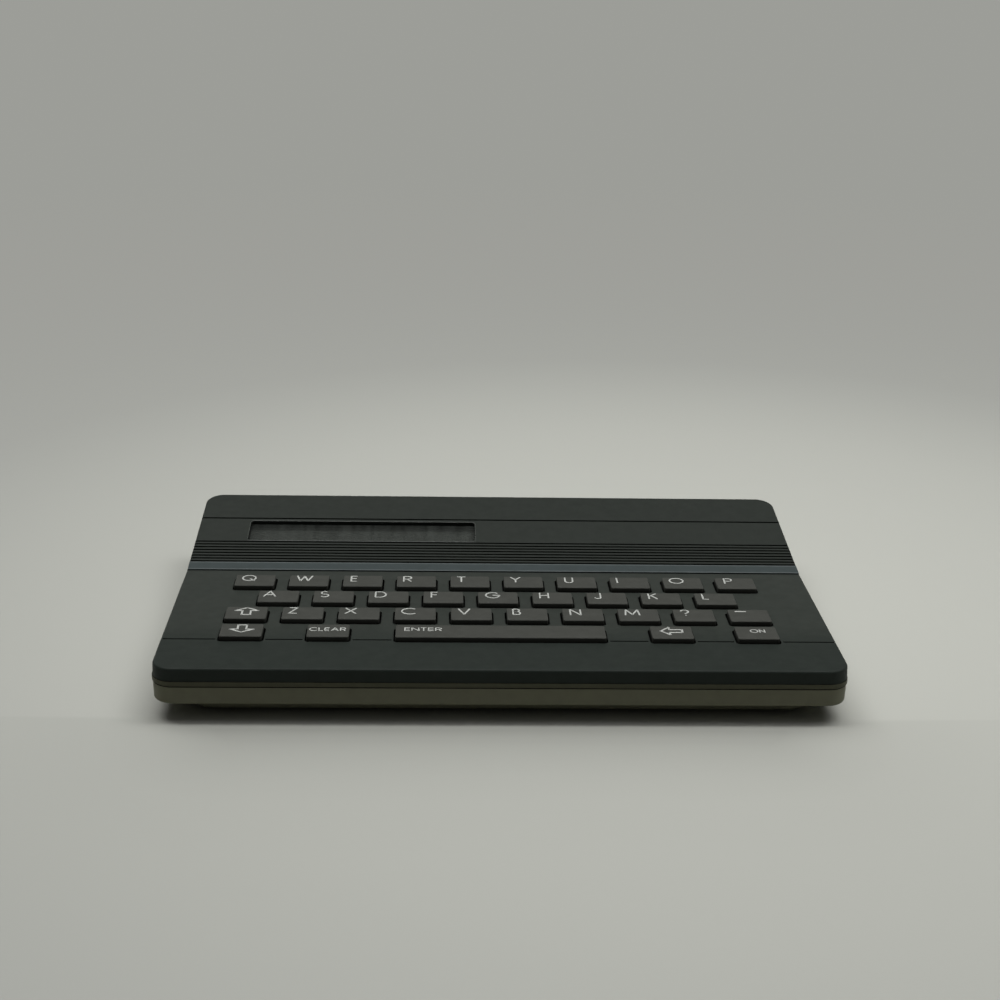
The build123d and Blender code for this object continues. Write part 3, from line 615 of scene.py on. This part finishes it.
def painted_highlight_strip(name, start):
    """Painted highlight: a thin pale strip with rounded long edges, as long as the band, lying on
    the slope.
    """
    end = start + BAND_LINE_WIDTH
    section = [
        (start, 0.0),
        (start + BAND_LINE_EDGE, BAND_LINE_RISE),
        (end - BAND_LINE_EDGE, BAND_LINE_RISE),
        (end, 0.0),
    ]
    sides = (band_low.x, band_high.x)
    shape = bmesh.new()
    rows = [[shape.verts.new(on_slope(x, up, out)) for up, out in section] for x in sides]
    for at in range(len(section) - 1):
        shape.faces.new((rows[0][at], rows[1][at], rows[1][at + 1], rows[0][at + 1]))
    shape.faces.new((rows[0][-1], rows[1][-1], rows[1][0], rows[0][0]))
    shape.faces.new(rows[0])
    shape.faces.new(rows[1][::-1])
    bmesh.ops.recalc_face_normals(shape, faces=shape.faces)
    mesh = bpy.data.meshes.new(name)
    shape.to_mesh(mesh)
    shape.free()
    mesh.materials.append(materials["band_edge_highlight"])
    piece = bpy.data.objects.new(name, mesh)
    collection.objects.link(piece)
    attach(piece, "case")


opening_lip("opening_lip")
# Painted highlights along the band's two long edges
painted_highlight_strip("band_highlight_front", BAND_START + BAND_LINE_INSET)
painted_highlight_strip("band_highlight_back", BAND_END - BAND_LINE_INSET - BAND_LINE_WIDTH)


# Stage: one pale sweep that rises far behind the object. Lengths are in metres
FLOOR_FRONT = -2.2
FLOOR_BACK = 1.9
SWEEP_RADIUS = 0.9
SWEEP_HEIGHT = 2.6
SWEEP_HALF_WIDTH = 3.0
SWEEP_STEPS = 16
PAPER_CENTRE = (0.05, 0.02)
PAPER_REACH = 0.7
# A painted pool of light: the paper's tones by distance from the centre, palest near the object
PAPER_LIGHT_POOL_TONES = [
    (0.0, (194, 195, 187)),
    (0.1, (184, 185, 178)),
    (0.16, (180, 181, 174)),
    (0.24, (160, 161, 156)),
    (0.45, (158, 158, 153)),
    (0.7, (156, 157, 152)),
]
PAPER_ROUGHNESS = 0.95
PAPER_SHINE = 0.1

# A painted shadow on the paper in front: its tone by the distance from a line along the object's
# front edge
SHADE_HALF_WIDTH = 0.055
SHADE_Y = -0.05
SHADE_EDGE = -0.044
SHADE_TONES = [
    (0.0, 0.73),
    (0.002, 0.7),
    (0.004, 0.71),
    (0.0065, 0.75),
    (0.01, 0.79),
    (0.015, 0.84),
    (0.02, 0.88),
    (0.03, 0.925),
    (0.05, 0.96),
    (0.1, 1.0),
]
BACKDROP_TONE = (156, 157, 152)
BACKDROP_START = 0.15
BACKDROP_FULL = 0.3


def away_from_centre(tree, start, full):
    """A factor from 0 to 1 with the distance from the lit middle of the floor."""
    place = tree.nodes.new("ShaderNodeTexCoord")
    reach = tree.nodes.new("ShaderNodeVectorMath")
    reach.operation = "DISTANCE"
    reach.inputs[1].default_value = (*PAPER_CENTRE, 0.0)
    tree.links.new(place.outputs["Object"], reach.inputs[0])
    return map_range(tree, reach.outputs["Value"], start, full)


def painted_light_pool(tree):
    """A painted pool of light on the paper: palest under the object and a little deeper away from
    it.
    """
    tones = [(away / PAPER_REACH, colour(*tone)) for away, tone in PAPER_LIGHT_POOL_TONES]
    return stops(tree, away_from_centre(tree, 0.0, PAPER_REACH), tones, "B_SPLINE")


def painted_front_shadow(tree):
    """Painted shadow: a factor that falls gently on the floor in front, towards the object's front
    edge.
    """
    place = split_place(tree)
    aside = math_node(tree, "ABSOLUTE", place["X"], 0.0)
    aside = math_node(tree, "SUBTRACT", aside, SHADE_HALF_WIDTH)
    aside = math_node(tree, "MAXIMUM", aside, 0.0)
    join = tree.nodes.new("ShaderNodeCombineXYZ")
    tree.links.new(aside, join.inputs["X"])
    tree.links.new(math_node(tree, "SUBTRACT", place["Y"], SHADE_Y), join.inputs["Y"])
    reach = tree.nodes.new("ShaderNodeVectorMath")
    reach.operation = "LENGTH"
    tree.links.new(join.outputs["Vector"], reach.inputs[0])
    farthest = SHADE_TONES[-1][0]
    along = math_node(tree, "DIVIDE", reach.outputs["Value"], farthest)
    tones = stops(tree, along, [(far / farthest, (tone,) * 3) for far, tone in SHADE_TONES])
    under = map_range(tree, place["Y"], SHADE_Y, SHADE_EDGE, SHADE_TONES[0][1])
    return math_node(tree, "MAXIMUM", tones, under)


def seen_directly(tree):
    """1 for rays from the camera and for those mirrored or let through to it, else 0."""
    path = tree.nodes.new("ShaderNodeLightPath")
    total = path.outputs["Is Camera Ray"]
    for kind in ("Is Glossy Ray", "Is Transmission Ray"):
        total = math_node(tree, "MAXIMUM", total, path.outputs[kind])
    return total


def mixed(tree, share, first, second, output):
    """Two shaders mixed by a share, linked to an output."""
    mix = tree.nodes.new("ShaderNodeMixShader")
    tree.links.new(share, mix.inputs["Fac"])
    tree.links.new(first, mix.inputs[1])
    tree.links.new(second, mix.inputs[2])
    tree.links.new(mix.outputs["Shader"], tree.nodes[output].inputs["Surface"])


def paper():
    """Matt paper near the object, which fades into an even backdrop tone away from it."""
    material, tree, shader = new_material("pale_paper")
    # The paper's colour: the painted pool of light times the painted shadow in front
    tone = scaled(tree, painted_light_pool(tree), painted_front_shadow(tree))
    tree.links.new(tone, shader.inputs["Base Color"])
    shader.inputs["Roughness"].default_value = PAPER_ROUGHNESS
    shader.inputs["Specular IOR Level"].default_value = PAPER_SHINE
    even = tree.nodes.new("ShaderNodeEmission")
    tree.links.new(tone, even.inputs["Color"])
    away = away_from_centre(tree, BACKDROP_START, BACKDROP_FULL)
    share = math_node(tree, "MULTIPLY", away, seen_directly(tree))
    mixed(tree, share, shader.outputs["BSDF"], even.outputs["Emission"], "Material Output")
    return material


def build_sweep():
    """Floor and backdrop as one sheet with a large radius between them."""
    profile = [(FLOOR_FRONT, 0.0)]
    for step in range(SWEEP_STEPS + 1):
        angle = pi / 2 * step / SWEEP_STEPS
        back = FLOOR_BACK + SWEEP_RADIUS * sin(angle)
        profile.append((back, SWEEP_RADIUS * (1 - cos(angle))))
    profile.append((FLOOR_BACK + SWEEP_RADIUS, SWEEP_HEIGHT))
    shape = bmesh.new()
    line = [shape.verts.new((-SWEEP_HALF_WIDTH, y, z)) for y, z in profile]
    edges = [shape.edges.new(pair) for pair in zip(line, line[1:])]
    grown = bmesh.ops.extrude_edge_only(shape, edges=edges)
    moved = [part for part in grown["geom"] if isinstance(part, bmesh.types.BMVert)]
    bmesh.ops.translate(shape, verts=moved, vec=(2 * SWEEP_HALF_WIDTH, 0, 0))
    bmesh.ops.recalc_face_normals(shape, faces=shape.faces)
    mesh = bpy.data.meshes.new("sweep")
    shape.to_mesh(mesh)
    shape.free()
    mesh.shade_smooth()
    mesh.materials.append(paper())
    sweep = bpy.data.objects.new("sweep", mesh)
    collection.objects.link(sweep)


build_sweep()

# Light: a large soft lamp above and behind, a narrow one straight above, and a soft sky
SKY_COLOUR = (1.0, 1.0, 0.99, 1.0)
SKY_HORIZON = 0.0
SKY_TOP = 0.29
SKY_CURVE = 2.0


def soft_lamp(name, place, target, size, power):
    """A rectangular area lamp that looks at a point, all in metres and watts."""
    data = bpy.data.lights.new(name, "AREA")
    data.shape = "RECTANGLE"
    data.size, data.size_y = size
    data.energy = power
    lamp = bpy.data.objects.new(name, data)
    collection.objects.link(lamp)
    look = Vector(target) - Vector(place)
    turn = look.to_track_quat("-Z", "Y").to_matrix().to_4x4()
    lamp.matrix_world = Matrix.Translation(Vector(place)) @ turn


def build_sky():
    """A sky that fades towards the horizon, with the backdrop's tone where it is seen."""
    world = bpy.data.worlds.new("soft_sky")
    world.use_nodes = True
    tree = world.node_tree
    light = tree.nodes["Background"]
    light.inputs["Color"].default_value = SKY_COLOUR
    height = math_node(tree, "MAXIMUM", split_place(tree, "Generated")["Z"], 0.0)
    height = math_node(tree, "POWER", height, SKY_CURVE)
    strength = map_range(tree, height, 0.0, 1.0, SKY_HORIZON, SKY_TOP)
    tree.links.new(strength, light.inputs["Strength"])
    seen = tree.nodes.new("ShaderNodeBackground")
    seen.inputs["Color"].default_value = colour(*BACKDROP_TONE)
    share = seen_directly(tree)
    mixed(tree, share, light.outputs["Background"], seen.outputs["Background"], "World Output")
    bpy.context.scene.world = world


soft_lamp(
    "overhead_softbox", place=(0.1, 0.2, 1.2), target=(0.04, 0.07, 0), size=(2.2, 0.8), power=11.3
)
soft_lamp(
    "overhead_strip", place=(0.05, 0.02, 1.2), target=(0.05, -0.043, 0), size=(1.6, 0.12), power=7.4
)
build_sky()
bpy.context.scene.view_settings.view_transform = "Standard"
